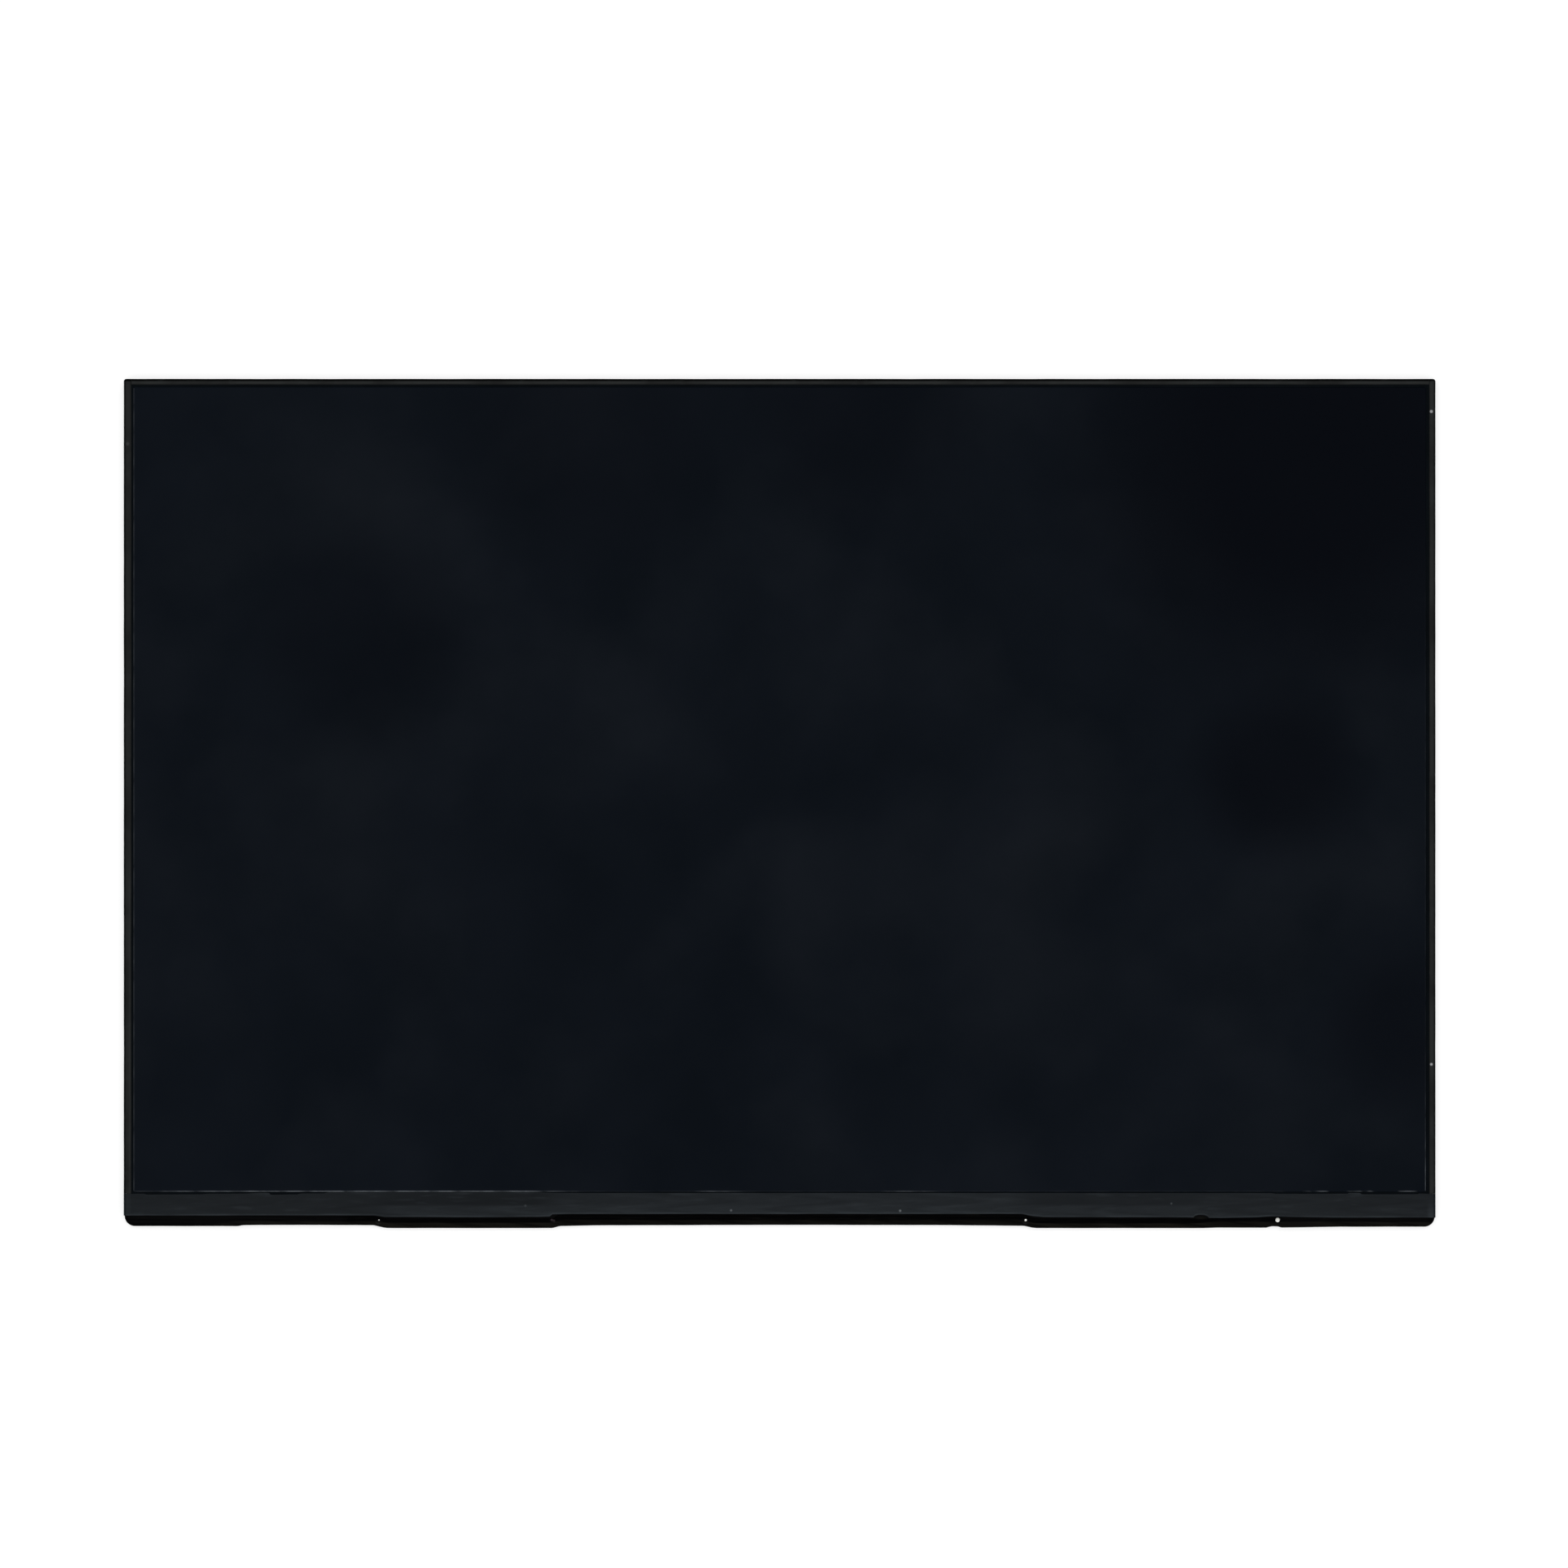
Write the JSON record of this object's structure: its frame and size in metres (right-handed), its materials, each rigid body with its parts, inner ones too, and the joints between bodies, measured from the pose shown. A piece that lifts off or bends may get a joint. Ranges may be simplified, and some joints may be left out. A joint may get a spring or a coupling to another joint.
{
  "type": "laptop screen panel",
  "caption": "Flat laptop display panel: a dark anti-glare screen on a slim lit tray, with driver films folded round the lower edge to a board behind.",
  "frame": {"origin": "centre of the bounding box at the lowest point, which is the back of the board cover film", "axes": "+X to the right of the screen, +Y to the screen's top edge, +Z out of the screen"},
  "size_m": [0.308, 0.1996, 0.0038],
  "materials": {
    "screen_film": "anti-glare",
    "polariser_film": "smooth",
    "display_glass": "polished",
    "bond_tape": "matte",
    "prism_film": "fine ridges",
    "diffuser_film": "frosted",
    "guide_acrylic": "polished",
    "reflector_film": "white",
    "flex_film": "amber film",
    "lamp_body": "white",
    "frame_plastic": "moulded",
    "cover_sheet": "rolled",
    "silicon_chip": "polished",
    "board_laminate": "lacquered",
    "chip_plastic": "moulded",
    "inductor_body": "pressed powder",
    "capacitor_body": "fired",
    "resistor_body": "fired",
    "socket_plastic": "moulded",
    "socket_metal": "stamped",
    "contact_metal": "plated",
    "cover_film": "satin",
    "wrap_film": "matte",
    "ledge_tape": "satin",
    "rim_tape": "satin"
  },
  "bodies": {
    "root": {"board_cover_film": "cover_film", "board_tape": "bond_tape", "capacitors": "capacitor_body", "cell_bond_tape": "bond_tape", "colour_filter_glass": "display_glass", "diffuser_sheet": "diffuser_film", "driver_board": "board_laminate", "driver_chip_left": "silicon_chip", "driver_chip_right": "silicon_chip", "driver_film_left": "flex_film", "driver_film_right": "flex_film", "edge_wrap_tape": "wrap_film", "front_ledge_tape": "ledge_tape", "front_polariser": "screen_film", "lamp_board": "flex_film", "lamp_driver_chip": "chip_plastic", "lamp_socket": "socket_plastic", "lamps": "lamp_body", "light_guide": "guide_acrylic", "lower_prism_sheet": "prism_film", "memory_chip": "chip_plastic", "mould_frame": "frame_plastic", "power_chip": "chip_plastic", "power_inductors": "inductor_body", "rear_cover": "cover_sheet", "rear_polariser": "polariser_film", "reflector_sheet": "reflector_film", "resistors": "resistor_body", "rim_tape_left": "rim_tape", "rim_tape_right": "rim_tape", "rim_tape_top": "rim_tape", "signal_contacts": "contact_metal", "signal_socket_housing": "socket_plastic", "signal_socket_shell": "socket_metal", "tft_glass": "display_glass", "timing_controller": "chip_plastic", "upper_prism_sheet": "prism_film"}
  },
  "joints": []
}
